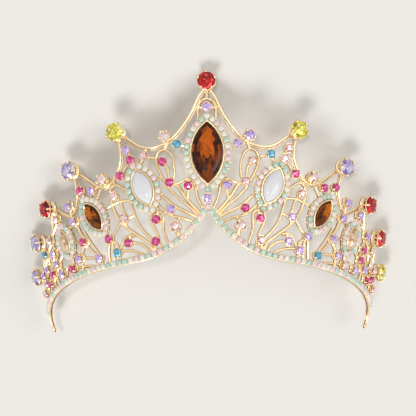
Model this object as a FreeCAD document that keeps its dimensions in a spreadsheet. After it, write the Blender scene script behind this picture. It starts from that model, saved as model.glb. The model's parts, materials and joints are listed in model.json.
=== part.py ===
# Jewelled openwork tiara: one cast frame, faceted navettes, claw-set peak stones
# and small round stones.  All sizes in mm.  The pattern is drawn flat as (s, h):
# s runs along the head band from the middle, h runs up the flared face.
import FreeCAD
import Part
import math
import os

V = FreeCAD.Vector
doc = FreeCAD.newDocument("tiara")
sheet = doc.addObject("Spreadsheet::Sheet", "sizes")

SIZES = [
    ("band_radius", 84.0),
    ("flare_angle", 20.0),
    ("rim_pitch", 3.05),
    ("rim_width", 3.0),
    ("wire_width", 1.3),
    ("wire_thick", 1.4),
    ("outline_width", 1.9),
    ("seat_top", 1.0),
    ("back_depth", 0.7),
    ("stone_gap", 0.2),
    ("opal_radius", 1.35),
    ("opal_height", 1.3),
    ("accent_radius", 1.95),
    ("accent_height", 1.9),
    ("halo_offset", 2.45),
    ("halo_margin", 1.25),
    ("centre_length", 29.0),
    ("centre_width", 14.6),
    ("white_length", 17.6),
    ("white_width", 9.2),
    ("amber_length", 15.6),
    ("amber_width", 7.4),
    ("champagne_length", 11.6),
    ("champagne_width", 5.8),
    ("navette_height", 3.0),
    ("peak_radius", 4.0),
    ("peak_height", 3.4),
    ("cup_reach", 1.3),
    ("cup_wall", 0.8),
    ("cup_floor", 1.0),
    ("cup_clear", 0.3),
    ("claw_width", 1.3),
    ("claw_rise", 4.2),
    ("raised_radius", 2.6),
    ("raised_height", 2.2),
    ("raised_claw_rise", 3.0),
    ("loop_radius", 3.2),
    ("loop_hole", 1.6),
    ("loop_thick", 1.6),
]
row = 1
for alias, value in SIZES:
    sheet.set("A%d" % row, alias.replace("_", " "))
    sheet.set("B%d" % row, str(value))
    sheet.setAlias("B%d" % row, alias)
    row += 1
doc.recompute()


def size(alias):
    return float(getattr(sheet, alias))


BAND_R = size("band_radius")
FLARE = math.radians(size("flare_angle"))
SEAT_TOP = size("seat_top")
BACK = size("back_depth")
GAP = size("stone_gap")


def place_at(s, h):
    """Point on the flared face with its three unit directions."""
    angle = s / BAND_R
    radius = BAND_R + h * math.sin(FLARE)
    out = V(math.sin(angle), -math.cos(angle), 0)
    point = out * radius + V(0, 0, h * math.cos(FLARE))
    along = V(math.cos(angle), math.sin(angle), 0)
    rise = out * math.sin(FLARE) + V(0, 0, math.cos(FLARE))
    normal = out * math.cos(FLARE) - V(0, 0, math.sin(FLARE))
    return point, along, rise, normal


def stretch(h):
    """How much wider the face is at height h than at the band."""
    return 1.0 + h * math.sin(FLARE) / BAND_R


RIM = [(0, 20.5), (3, 16.6), (5.5, 13), (8.5, 9.6), (12, 6.8), (16, 4.2), (20, 2.2),
       (25, 0.6), (31, -0.3), (40, -0.5), (50, -0.2), (60, 0.3), (70, 0.8),
       (80, 1.0), (90, 1.0), (98, 0.9), (104, 0.5), (110, 0), (116, -1),
       (121, -2.8)]
RIM_END = (124.5, -4.8)

# name, s, h, tilt from upright, stones in the halo
NAVETTES = [
    ("centre", 0.0, 45.8, 0.0, 28),
    ("white", 27.0, 32.0, 18.0, 18),
    ("amber", 52.4, 24.4, 25.0, 18),
    ("champagne", 73.0, 19.0, 12.0, 16),
]

PEAKS = [(0, 79.5), (35, 60.5), (59, 50), (78, 38.5), (94, 28), (107, 15)]
RAISED = [(16, 54.5), (44, 40), (14.1, 12)]
ACCENTS_MID = [(0, 67.5), (0, 24.3)]
# s, h, then the colours left and right: a aqua, f fuchsia, r rose, v violet
ACCENTS = [
    (11.7, 50.5, "av"), (8, 30.5, "fv"), (15.5, 32.7, "fr"), (17.8, 42.8, "fr"),
    (25, 47, "ra"), (30.8, 46, "fr"), (32, 51.2, "vr"), (36.2, 39.7, "ff"),
    (15.7, 20.2, "vf"), (22.6, 16.2, "ff"), (23.6, 6, "fr"), (37.2, 19.3, "rv"),
    (40.3, 31, "rr"), (46.3, 11.7, "fv"), (36.7, 7.6, "fv"), (43.1, 4.3, "av"),
    (53.6, 4.3, "va"), (61, 14.6, "fv"), (66, 7.7, "vv"), (56.5, 38.9, "ff"),
    (50.7, 36.7, "vf"), (65.4, 34.4, "vv"), (64.3, 26, "vv"), (75, 31.6, "rv"),
    (84.2, 24.5, "rv"), (92, 20.2, "ar"), (84.2, 17.2, "vf"), (83.8, 11.6, "vf"),
    (72.3, 4.9, "fr"), (81, 5.2, "vv"), (89.4, 8.6, "fv"), (94, 12.8, "vr"),
    (100.6, 12.6, "vr"), (94.8, 5.2, "ff"), (100.3, 8, "rf"), (106, 4.9, "rr"),
]

OUTLINES = [
    [(0, 77), (2.5, 73), (4, 69), (6, 64), (8.8, 59), (11.7, 55), (15, 52), (19, 50.3),
     (23.2, 50), (27, 51.8), (30.2, 55), (33.5, 59)],
    [(35, 58), (34.6, 53), (35, 48), (36.2, 44), (38.2, 40.5), (41.2, 37.4), (45, 36.2),
     (48.5, 38), (51.5, 41.4), (54.5, 45), (57.8, 48.6)],
    [(59, 47.5), (58.9, 43.2), (59.1, 39.7), (59.8, 36), (62, 32), (66, 29.2),
     (70.4, 32), (74, 35.6), (77, 37.6)],
]
WIRES = [
    # loop beside the centre halo and its inner bar
    [(15.5, 32.7), (13.8, 35.3), (13.4, 39), (13.6, 43), (14.8, 47), (17, 48.7),
     (19.4, 47.5), (20.6, 44.3), (20, 40), (18.5, 35.6), (16.8, 31.4), (14.8, 28.2),
     (11.7, 24.4), (8.2, 21), (4.4, 16.4)],
    [(17.8, 42.8), (16.3, 40), (15.9, 36), (15.5, 32.7)],
    [(16, 54.5), (15.6, 51.6), (16.8, 48.7)],
    [(11.7, 50.5), (13.4, 53.6)],
    [(11.7, 50.5), (8.5, 49.5)],
    # ribs that fan into the point of the band
    [(15.5, 32.7), (12.5, 30.9), (10.2, 26.5), (7.2, 22.2), (3.6, 17.6)],
    [(15.5, 32.7), (12.5, 32.2), (10.2, 33), (8, 34), (6, 32.5), (5, 29), (4.4, 25.2),
     (2.4, 20)],
    [(8, 34), (8, 30.5), (8.6, 24.4)],
    [(20.5, 27.5), (18, 25.6), (15.8, 22.9), (12.9, 20.6), (10, 18.8), (4.6, 15.6)],
    [(21.5, 23), (19, 20.2), (15.8, 17.3), (11.8, 16), (6.6, 14)],
    [(15.8, 22.9), (15.7, 20.2), (15.8, 17.3)],
    [(12.6, 16), (14.1, 12), (12.4, 7)],
    [(8.5, 9.6), (14.1, 12), (17, 12.5), (19.9, 12.5)],
    # upright loop under the white halo
    [(18, 3.4), (19.2, 7.3), (20, 11), (19.8, 14.5), (19.8, 18.3), (22.1, 20.2),
     (24.8, 19), (24.8, 14.5), (23.4, 10.4), (22.6, 7.6), (22, 1.6)],
    [(22.6, 16.2), (22.1, 20.2), (23, 23.5)],
    [(19.8, 14.5), (22.6, 16.2), (24.8, 14.5)],
    [(23.6, 6), (25.6, 2)],
    # loop under the second valley with its cross bars
    [(24, 1.2), (25.6, 7), (28.6, 10.8), (31.2, 15.2), (32.4, 19), (33.1, 23.2),
     (33.9, 27.7), (35.1, 31.6), (37, 34.6), (39.4, 36.2), (41.8, 35), (43, 31.9),
     (42.4, 26.2), (41, 21), (38.5, 17), (35.2, 13), (31, 9.2), (26.6, 4.6),
     (26, 0.4)],
    [(39.4, 36.2), (40.4, 38.4)],
    [(34, 27.4), (38, 28), (42.5, 27.4), (46.8, 26)],
    [(40.3, 31), (38.6, 27.6), (37.2, 19.3), (37.6, 16)],
    [(32.6, 20), (37.2, 19.3), (40.6, 20)],
    [(43, 0), (43.1, 4.3), (38.4, 4.4), (32, 1.8), (29.5, -0.2)],
    [(36.7, 7.6), (33, 6.8), (28.8, 3.6), (27.4, 0.2)],
    [(43.1, 4.3), (40.8, 7.8), (39.2, 10), (36.4, 11.3), (34, 10.2)],
    [(36.7, 7.6), (36.4, 11.3)],
    [(50, 17.5), (46.3, 11.7), (43.4, 8.2), (43.1, 4.3)],
    [(39.6, 18.4), (43, 14.6), (46.3, 11.7)],
    [(46.3, 11.7), (48, 8.4), (49.4, 0)],
    [(46.3, 11.7), (45.8, 7.6), (46.6, 0)],
    # fan under the amber navette
    [(60.5, 19.5), (57.8, 13.2), (53.6, 4.3), (53.4, 0)],
    [(61, 14.6), (58.4, 9.6), (53.6, 4.3)],
    [(66, 7.7), (61, 6.6), (53.6, 4.3)],
    [(72.3, 4.9), (67, 3.8), (60, 2.2), (56, 0.4)],
    [(66, 29.2), (64.3, 26), (62.8, 20), (61, 14.6), (64, 11), (66, 7.7), (66.4, 1)],
    [(61, 14.6), (64.6, 15.6), (67.6, 16.8)],
    [(59, 25), (64.3, 26), (69.2, 24)],
    [(66, 29.2), (65.4, 34.4)],
    [(72.3, 0.8), (72.3, 4.9), (71.8, 10.6)],
    [(66, 7.7), (69.6, 12)],
    # links round the two big halos
    [(24.4, 50), (25, 47), (27.6, 43.2)],
    [(34.6, 53), (32, 51.2), (30.8, 46), (30.4, 43)],
    [(30.8, 46), (33.6, 43.2), (36.2, 39.7), (38.4, 40.4)],
    [(36.2, 39.7), (33.4, 37)],
    [(25, 47), (21, 45.2)],
    [(18.6, 36), (22, 35.4)],
    [(44, 40), (44.6, 36.3)],
    [(46.8, 36.4), (49.8, 32)],
    [(48.5, 38), (50.7, 36.7), (53, 33.6)],
    [(59, 41), (56.5, 38.9), (56.8, 33.8)],
    # set field at the side
    [(75.4, 36.5), (75, 31.6), (74.6, 27.6)],
    [(78, 38.5), (80.6, 30), (84.2, 24.5), (88, 22), (92, 20.2), (97, 16.6),
     (100.6, 12.6), (103.6, 8.6), (106, 4.9), (107.6, -0.6)],
    [(75, 31.6), (80, 28), (84.2, 24.5), (84.2, 17.2), (83.8, 11.6), (81, 5.2),
     (81, 1)],
    [(78, 20), (84.2, 17.2), (88.6, 14.6), (94, 12.8), (100.6, 12.6)],
    [(94, 28), (92, 20.2), (88.6, 14.6), (83.8, 11.6), (89.4, 8.6), (94, 12.8),
     (94.8, 5.2), (94.8, 1)],
    [(92, 20.2), (94, 12.8)],
    [(94, 28), (98.4, 21), (100.6, 12.6), (100.3, 8), (100, 0.8)],
    [(89.4, 8.6), (94.8, 5.2), (100.3, 8), (106, 4.9)],
    [(81, 5.2), (89.4, 8.6), (88.4, 1)],
    [(72.3, 4.9), (76.6, 7.4), (81, 5.2)],
    [(77.6, 15), (83.8, 11.6)],
    [(107, 15), (100.6, 12.6)],
    [(107, 15), (107.4, 9.6), (106, 4.9)],
]
WIRES_MID = [
    [(0, 19.6), (0, 24.3), (0, 29.5)],
    [(-3.2, 60), (-3.2, 67.5), (-2, 70.6), (0, 71.8), (2, 70.6), (3.2, 67.5), (3.2, 60)],
    [(-3.2, 67.5), (0, 67.5), (3.2, 67.5)],
    [(0, 76), (0, 71.8)],
]


def face_of(points):
    return Part.Face(Part.makePolygon(list(points) + [points[0]]))


def solid_of(faces):
    solid = Part.Solid(Part.Shell(faces))
    if solid.Volume < 0:
        solid.reverse()
    return solid


def swept(path, width, top, bottom):
    """Bar of rectangular section that follows a path on the face."""
    rings = []
    last = len(path) - 1
    for i in range(len(path)):
        s, h = path[i]
        point, along, rise, normal = place_at(s, h)
        k = stretch(h)
        dirs = []
        if i > 0:
            dirs.append(((s - path[i - 1][0]) * k, h - path[i - 1][1]))
        if i < last:
            dirs.append(((path[i + 1][0] - s) * k, path[i + 1][1] - h))
        units = []
        for a, b in dirs:
            n = math.hypot(a, b)
            units.append((a / n, b / n))
        ta = sum(u[0] for u in units)
        tb = sum(u[1] for u in units)
        n = math.hypot(ta, tb)
        ta, tb = ta / n, tb / n
        spread = 1.0 / max(0.6, ta * units[0][0] + tb * units[0][1])
        side = (along * (-tb) + rise * ta) * (width / 2.0 * spread)
        rings.append([point - side - normal * bottom, point + side - normal * bottom,
                      point + side + normal * top, point - side + normal * top])
    faces = [face_of(rings[0]), face_of(rings[-1])]
    for a, b in zip(rings[:-1], rings[1:]):
        for j in range(4):
            k = (j + 1) % 4
            faces.append(face_of([a[j], a[k], b[k]]))
            faces.append(face_of([a[j], b[k], b[j]]))
    return solid_of(faces)


def frame_at(s, h, turn=0.0):
    """Placement whose x runs along, y runs up the face and z points out."""
    point, along, rise, normal = place_at(s, h)
    t = math.radians(turn)
    ex = along * math.cos(t) - rise * math.sin(t)
    ey = along * math.sin(t) + rise * math.cos(t)
    rot = FreeCAD.Rotation(ex, ey, normal, "ZXY")
    return FreeCAD.Placement(point, rot)


def ring_points(radius, sides, z, phase=0.5):
    step = 2 * math.pi / sides
    return [V(radius * math.cos((i + phase) * step), radius * math.sin((i + phase) * step), z)
            for i in range(sides)]


def lofted(rings):
    """Closed solid through rings of points that are alike, flat faces only."""
    faces = [face_of(rings[0]), face_of(rings[-1])]
    n = len(rings[0])
    for a, b in zip(rings[:-1], rings[1:]):
        for j in range(n):
            k = (j + 1) % n
            faces.append(face_of([a[j], a[k], b[k], b[j]]))
    return solid_of(faces)


def pad(s, h, radius, sides=6):
    shape = lofted([ring_points(radius, sides, -BACK), ring_points(radius, sides, SEAT_TOP)])
    shape.Placement = frame_at(s, h)
    return shape


def navette_ring(length, width, z, grow=0.0, count=16):
    """Pointed oval: two equal arcs that meet on the long axis."""
    a = length / 2.0
    b = width / 2.0
    radius = (a * a + b * b) / (2.0 * b)
    centre = radius - b
    reach = math.asin(a / radius)
    half = count // 2
    points = []
    for side in (1, -1):
        for i in range(half):
            t = (-1 + 2.0 * i / half) * reach * side
            x = side * (radius * math.cos(t) - centre)
            y = radius * math.sin(t)
            points.append(V(x, y, z))
    if grow:
        moved = []
        for i in range(len(points)):
            if i == 0 or i == half:
                sign = -1 if i == 0 else 1
                moved.append(V(0, points[i].y + sign * grow * 1.15, z))
                continue
            before, after = points[i - 1], points[(i + 1) % len(points)]
            t = after - before
            out = V(t.y, -t.x, 0)
            out.normalize()
            moved.append(points[i] + out * grow)
        points = moved
    return points


def halo_places(length, width, offset, count):
    """Evenly spaced places on the pointed oval grown by the offset."""
    line = navette_ring(length, width, 0, offset, 48)
    line.append(line[0])
    gone = [0.0]
    for a, b in zip(line[:-1], line[1:]):
        gone.append(gone[-1] + (b - a).Length)
    step = gone[-1] / count
    places = []
    for i in range(count):
        want = i * step
        j = 0
        while gone[j + 1] < want:
            j += 1
        f = (want - gone[j]) / (gone[j + 1] - gone[j])
        places.append(line[j] + (line[j + 1] - line[j]) * f)
    return places


def setting_plate(name, s, h, tilt):
    """Oval plate with an open back that carries a navette and its halo."""
    length = size(name + "_length")
    width = size(name + "_width")
    grow = size("halo_offset") + size("halo_margin")
    outer = lofted([navette_ring(length, width, -BACK, grow),
                    navette_ring(length, width, SEAT_TOP, grow)])
    small = 0.62
    hole = lofted([navette_ring(length * small, width * small, -BACK - 1),
                   navette_ring(length * small, width * small, SEAT_TOP + 1)])
    plate = outer.cut(hole)
    plate.Placement = frame_at(s, h, tilt)
    return plate


def end_loop():
    """Flat eye with a round hole at the end of the band."""
    eye = Part.makeCylinder(size("loop_radius"), size("loop_thick"))
    eye.Placement = loop_place()
    return eye


def loop_place():
    base = frame_at(RIM_END[0] + 2.2, RIM_END[1] - 1.2)
    lift = FreeCAD.Placement(V(0, 0, -size("loop_thick") / 2.0), FreeCAD.Rotation())
    return base.multiply(lift)


half = []
for path in OUTLINES:
    half.append(swept(path, size("outline_width"), size("wire_thick") / 2.0 + 0.15, BACK - 0.1))
for path in WIRES:
    half.append(swept(path, size("wire_width"), size("wire_thick") / 2.0, BACK - 0.2))
for s, h, tint in ACCENTS:
    half.append(pad(s, h, size("accent_radius") * 0.92))
for s, h in PEAKS[1:]:
    half.append(pad(s, h, size("peak_radius") + size("cup_wall"), 8))
for s, h in RAISED:
    half.append(pad(s, h, size("raised_radius") + size("cup_wall")))
for name, s, h, tilt, count in NAVETTES[1:]:
    half.append(setting_plate(name, s, h, tilt))
half.append(end_loop())
right_half = half[0].multiFuse(half[1:])
left_half = right_half.mirror(V(0, 0, 0), V(1, 0, 0))

full_rim = [(-s, h) for s, h in reversed(RIM[1:] + [RIM_END])] + RIM + [RIM_END]
middle = [swept(full_rim, size("rim_width"), SEAT_TOP, BACK)]
for path in WIRES_MID:
    middle.append(swept(path, size("wire_width"), size("wire_thick") / 2.0, BACK - 0.2))
for s, h in ACCENTS_MID:
    middle.append(pad(s, h, size("accent_radius") * 0.92))
middle.append(pad(PEAKS[0][0], PEAKS[0][1], size("peak_radius") + size("cup_wall"), 8))
name, s, h, tilt, count = NAVETTES[0]
middle.append(setting_plate(name, s, h, tilt))
frame_shape = right_half.multiFuse([left_half] + middle)

hole = Part.makeCylinder(size("loop_hole"), size("loop_thick") + 6)
hole.Placement = loop_place().multiply(FreeCAD.Placement(V(0, 0, -3), FreeCAD.Rotation()))
frame_shape = frame_shape.cut(hole)
frame_shape = frame_shape.cut(hole.mirror(V(0, 0, 0), V(1, 0, 0)))


# The tiara lies face up on the tip of the top peak and on the two outermost
# peak cups.  The turn about x is the one where all three touch the floor.
corners = [v.Point for v in frame_shape.Vertexes]
claw_out = size("peak_radius") + size("cup_clear") + size("cup_wall")
claw_top = SEAT_TOP + size("cup_floor") + size("claw_rise")
claw_side = size("claw_width") / 2.0
base_out = size("peak_radius") + size("cup_reach")
for s, h in PEAKS:
    for side in (-1, 1):
        place = frame_at(s * side, h)
        for sign in (-1, 1):
            for w in (-claw_side, claw_side):
                corners.append(place.multVec(V(sign * claw_out, w, claw_top)))
                corners.append(place.multVec(V(w, sign * claw_out, claw_top)))
        for z in (SEAT_TOP, SEAT_TOP + size("cup_floor")):
            for point in ring_points(base_out, 8, z, 0):
                corners.append(place.multVec(point))
for z in (0, size("loop_thick")):
    for point in ring_points(size("loop_radius"), 72, z):
        corners.append(loop_place().multVec(point))


def lowest(points, angle):
    return min(-p.y * math.sin(angle) - p.z * math.cos(angle) for p in points)


tips = [p for p in corners if p.z > 0.6 * BAND_R and abs(p.x) < 0.2 * BAND_R]
flanks = [p for p in corners if abs(p.x) > 0.8 * BAND_R]
low = math.radians(5.0)
high = math.radians(80.0)
for i in range(50):
    angle = (low + high) / 2.0
    if lowest(tips, angle) > lowest(flanks, angle):
        high = angle
    else:
        low = angle
cos_a = math.cos(angle)
sin_a = math.sin(angle)
turn = FreeCAD.Rotation(V(-1, 0, 0), V(0, cos_a, -sin_a), V(0, -sin_a, -cos_a), "ZXY")
posed = [turn.multVec(p) for p in corners]
lift = -min(p.z for p in posed)
back_y = max(p.y for p in posed)
front_y = min(p.y for p in posed)
POSE = FreeCAD.Placement(V(0, -(back_y + front_y) / 2.0, lift), turn)

parts = []


def add_code_part(label, shape, placement):
    obj = doc.addObject("Part::Feature", label)
    obj.Label = label
    obj.Shape = shape
    obj.Placement = placement
    parts.append(obj)
    return obj


def lifted(place, z):
    return POSE.multiply(place).multiply(FreeCAD.Placement(V(0, 0, z), FreeCAD.Rotation()))


add_code_part("tiara_frame", frame_shape, POSE)


def claw_cup(label, place, radius, rise):
    """Claw cup of plain primitives: an eight-sided base and four upright claws."""
    base = doc.addObject("Part::Prism", label + "_base")
    base.Polygon = 8
    base.setExpression("Circumradius", "sizes.%s + sizes.cup_reach" % radius)
    base.setExpression("Height", "sizes.cup_floor")
    pieces = [base]
    for i in range(4):
        claw = doc.addObject("Part::Box", "%s_claw_%d" % (label, i + 1))
        claw.setExpression("Length", "sizes.cup_wall")
        claw.setExpression("Width", "sizes.claw_width")
        claw.setExpression("Height", "sizes.cup_floor + sizes.%s" % rise)
        claw.Placement.Rotation = FreeCAD.Rotation(V(0, 0, 1), 90.0 * i)
        reach = "(sizes.%s + sizes.cup_clear)" % radius
        turned_x = {0: reach, 1: "sizes.claw_width / 2", 2: "-" + reach, 3: "-sizes.claw_width / 2"}
        turned_y = {0: "-sizes.claw_width / 2", 1: reach, 2: "sizes.claw_width / 2", 3: "-" + reach}
        claw.setExpression("Placement.Base.x", turned_x[i])
        claw.setExpression("Placement.Base.y", turned_y[i])
        pieces.append(claw)
    cup = doc.addObject("Part::MultiFuse", label)
    cup.Label = label
    cup.Shapes = pieces
    cup.Placement = lifted(place, SEAT_TOP)
    parts.append(cup)


def round_stone(radius, height):
    """Round cut with eight sides: point cut short below, girdle, crown, table."""
    rings = [ring_points(radius * 0.45, 8, 0), ring_points(radius, 8, height * 0.55),
             ring_points(radius * 0.62, 8, height)]
    return lofted(rings)


def navette_stone(length, width, height, table):
    rings = [navette_ring(length * 0.66, width * 0.66, 0),
             navette_ring(length, width, height * 0.4),
             navette_ring(length * table, width * table, height)]
    return lofted(rings)


def low_cut(radius, height, sides):
    return lofted([ring_points(radius, sides, 0), ring_points(radius * 0.6, sides, height)])


SIDES = [("left", -1), ("right", 1)]


def mirrored(s, h, side, tilt=0.0):
    return frame_at(s * side, h, tilt * side)


stone_z = SEAT_TOP + GAP
cup_z = SEAT_TOP + size("cup_floor") + GAP
peak_stone = round_stone(size("peak_radius"), size("peak_height"))
raised_stone = round_stone(size("raised_radius"), size("raised_height"))

claw_cup("peak_cup_top", frame_at(PEAKS[0][0], PEAKS[0][1]), "peak_radius", "claw_rise")
add_code_part("peak_stone_top", peak_stone.copy(), lifted(frame_at(*PEAKS[0]), cup_z))
for side_name, side in SIDES:
    for i, (s, h) in enumerate(PEAKS[1:]):
        tag = "%d_%s" % (i + 2, side_name)
        place = mirrored(s, h, side)
        claw_cup("peak_cup_" + tag, place, "peak_radius", "claw_rise")
        add_code_part("peak_stone_" + tag, peak_stone.copy(), lifted(place, cup_z))
    for i, (s, h) in enumerate(RAISED):
        tag = "%d_%s" % (i + 1, side_name)
        place = mirrored(s, h, side)
        claw_cup("raised_cup_" + tag, place, "raised_radius", "raised_claw_rise")
        add_code_part("raised_stone_" + tag, raised_stone.copy(), lifted(place, cup_z))

TABLES = {"centre": 0.55, "white": 0.84, "amber": 0.55, "champagne": 0.6}
opal = low_cut(size("opal_radius"), size("opal_height"), 6)


def opals_label(name, side_name):
    return "halo_opals_%s_%s" % (name, side_name) if side_name else "halo_opals_" + name


def set_navette(name, s, h, tilt, count, side_name, side):
    length = size(name + "_length")
    width = size(name + "_width")
    place = mirrored(s, h, side, tilt)
    label = "navette_" + name
    if side_name:
        label += "_" + side_name
    stone = navette_stone(length, width, size("navette_height"), TABLES[name])
    add_code_part(label, stone, lifted(place, stone_z))
    pieces = []
    for spot in halo_places(length, width, size("halo_offset"), count):
        one = opal.copy()
        one.Placement = FreeCAD.Placement(V(spot.x, spot.y, 0), FreeCAD.Rotation())
        pieces.append(one)
    add_code_part(opals_label(name, side_name), Part.makeCompound(pieces), lifted(place, stone_z))


name, s, h, tilt, count = NAVETTES[0]
set_navette(name, s, h, tilt, count, "", 1)
for side_name, side in SIDES:
    for name, s, h, tilt, count in NAVETTES[1:]:
        set_navette(name, s, h, tilt, count, side_name, side)


def rim_places(pitch, stop):
    """Places along the band at an even pitch, from the point of the band outwards."""
    places = [(0.0, RIM[0][1])]
    left = pitch
    for a, b in zip(RIM[:-1], RIM[1:]):
        k = stretch((a[1] + b[1]) / 2.0)
        run = math.hypot((b[0] - a[0]) * k, b[1] - a[1])
        at = left
        while at <= run and a[0] < stop:
            f = at / run
            places.append((a[0] + (b[0] - a[0]) * f, a[1] + (b[1] - a[1]) * f))
            at += pitch
        left = at - run
    return places


rim_line = rim_places(size("rim_pitch"), 118)
for side_name, side in SIDES:
    pieces = []
    first = 0 if side < 0 else 1
    for s, h in rim_line[first:]:
        one = opal.copy()
        one.Placement = frame_at(s * side, h).multiply(FreeCAD.Placement(V(0, 0, stone_z),
                                                                        FreeCAD.Rotation()))
        pieces.append(one)
    add_code_part("rim_opals_" + side_name, Part.makeCompound(pieces), POSE)

accent = low_cut(size("accent_radius"), size("accent_height"), 6)
COLOURS = {"a": "aqua", "f": "fuchsia", "r": "rose", "v": "violet"}
for letter in "afrv":
    pieces = []
    spots = [(s * side, h) for s, h, tint in ACCENTS for n, side in SIDES
             if tint[0 if side < 0 else 1] == letter]
    if letter == "v":
        spots += ACCENTS_MID
    for s, h in spots:
        one = accent.copy()
        one.Placement = frame_at(s, h).multiply(FreeCAD.Placement(V(0, 0, stone_z),
                                                                 FreeCAD.Rotation()))
        pieces.append(one)
    add_code_part("accent_stones_" + COLOURS[letter], Part.makeCompound(pieces), POSE)

doc.recompute()
for obj in doc.Objects:
    if "Invalid" in obj.State or "Error" in obj.State:
        raise RuntimeError("not built: " + obj.Label)
for obj in parts:
    if obj.Shape.isNull() or not obj.Shape.isValid():
        raise RuntimeError("bad shape: " + obj.Label)
os.makedirs("parts", exist_ok=True)
for obj in parts:
    obj.Shape.exportStep("parts/%s.step" % obj.Label)
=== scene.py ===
"""Jewelled openwork tiara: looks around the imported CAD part.

The pattern is drawn flat, as s along the band from the middle and h up the face, in mm,
and laid on the flared face.  Lift is the height over that face.
"""

import json
import math

import bmesh
import bpy
import numpy as np
from mathutils import Matrix, Vector


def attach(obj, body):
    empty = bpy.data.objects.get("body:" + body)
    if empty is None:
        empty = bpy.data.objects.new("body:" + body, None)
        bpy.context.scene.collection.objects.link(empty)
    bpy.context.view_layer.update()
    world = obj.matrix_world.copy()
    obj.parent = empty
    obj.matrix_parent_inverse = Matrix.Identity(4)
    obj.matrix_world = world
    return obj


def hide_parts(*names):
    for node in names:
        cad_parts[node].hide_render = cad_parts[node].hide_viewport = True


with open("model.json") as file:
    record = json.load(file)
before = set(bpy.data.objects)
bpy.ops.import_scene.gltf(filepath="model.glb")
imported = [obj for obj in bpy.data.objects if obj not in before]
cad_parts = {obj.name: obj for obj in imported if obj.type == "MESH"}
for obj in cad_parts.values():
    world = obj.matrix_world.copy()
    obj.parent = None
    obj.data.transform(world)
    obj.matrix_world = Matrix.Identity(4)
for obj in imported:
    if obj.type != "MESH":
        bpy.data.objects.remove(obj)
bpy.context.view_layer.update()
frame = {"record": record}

MM = 0.001
BAND_RADIUS = 84.0
FLARE = math.radians(20.0)
RIM_PITCH = 3.05
HALO_OFFSET = 2.45
PEAK_RADIUS = 4.0
RAISED_RADIUS = 2.6
ACCENT_RADIUS = 1.95
ACCENT_SPREAD = 0.15
# each small stone is turned on from the one before it, in degrees
ACCENT_TURN = 37.0
OPAL_RADIUS = 1.5
OPAL_HEIGHT = 1.3
BAND_OPAL_FOOT = 0.85
HALO_OPAL_FOOT = 1.0
STONE_FOOT = 1.2
CUP_FOOT = 1.0
CLAWS = 5
# accents from here on stand close together, on leaves
SET_FIELD_START = 60.0

# Wires of the openwork: radius, then the lift of the middle line over the face.
WIRE = (0.74, -0.02)
WIRE_CREST = (0.4, 0.46)
RIB = (0.88, 0.0)
RIB_CREST = (0.46, 0.56)
# Rails of an outline: radius, distance from its line, lift.
OUTER_RAIL = (0.62, 0.42, 0.2)
INNER_RAIL = (0.36, -0.66, 0.02)

# Band channel: half width and the lifts of its floor, then each edge wire's radius,
# distance from the middle and lift, and the beads' size, distance and lift.
BAND_FLOOR = (1.35, -0.7, 0.75)
BAND_EDGE = (0.34, 1.3, 0.7)
BAND_LOW_EDGE = (0.3, 1.25, -0.45)
BAND_PRONG = (0.42, 1.05, 1.35)

# ---- Pattern ----

RIM = [(0, 20.5), (3, 16.6), (5.5, 13), (8.5, 9.6), (12, 6.8), (16, 4.2), (20, 2.2),
       (25, 0.6), (31, -0.3), (40, -0.5), (50, -0.2), (60, 0.3), (70, 0.8),
       (80, 1.0), (90, 1.0), (98, 0.9), (104, 0.5), (110, 0), (116, -1),
       (121, -2.8), (124.5, -4.8)]
RIM_STONES_END = 118.0
EYE = (126.7, -6.0)
EYE_RADIUS = 3.2
EYE_HOLE = 1.6

# name: s, h, tilt in degrees, length, width
NAVETTES = {
    "centre": (0.0, 45.8, 0.0, 29.0, 14.6),
    "white": (27.0, 32.0, 18.0, 17.6, 9.2),
    "amber": (52.4, 24.4, 25.0, 15.6, 7.4),
    "champagne": (73.0, 19.0, 12.0, 11.6, 5.8),
}
# halo colours start at the lowest stone and go round by the tiara's right side (+s)
HALOS = {
    "centre": "mwwwmmppwmwwpw" + "wmpwmpmmwwwwwp",
    "white_left": "wwpwmpwwwpmwmmmmmw",
    "white_right": "mwmpmwpwmmmwpwpwmm",
    "amber_left": "wppmppwwwwmmpmmmww",
    "amber_right": "mwppmwwmpwmmpwwpmw",
    "champagne_left": "pwmwpwmpwpmwwpmw",
    "champagne_right": "wpmwwpmwpwmpwpwm",
}
BAND_LEFT = "pmpmpwpmwmppmwpwmmwmwwpwmmmpwwmppwmmwpppwm"
BAND_RIGHT = "mmmmmmwppmpmmmpwmpwmppwwpmwmpmmmmpmppwwpmw"

PEAKS = [(0, 79.5), (35, 60.5), (59, 50), (78, 38.5), (94, 28), (107, 15)]
PEAK_COLOURS = ["RR", "YY", "LL", "RR", "LR", "LY"]
RAISED = [(16, 54.5), (44, 40), (14.1, 12)]
RAISED_COLOURS = ["SV", "SS", "SS"]
ACCENTS_MID = [(0, 67.5), (0, 24.3)]
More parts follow.
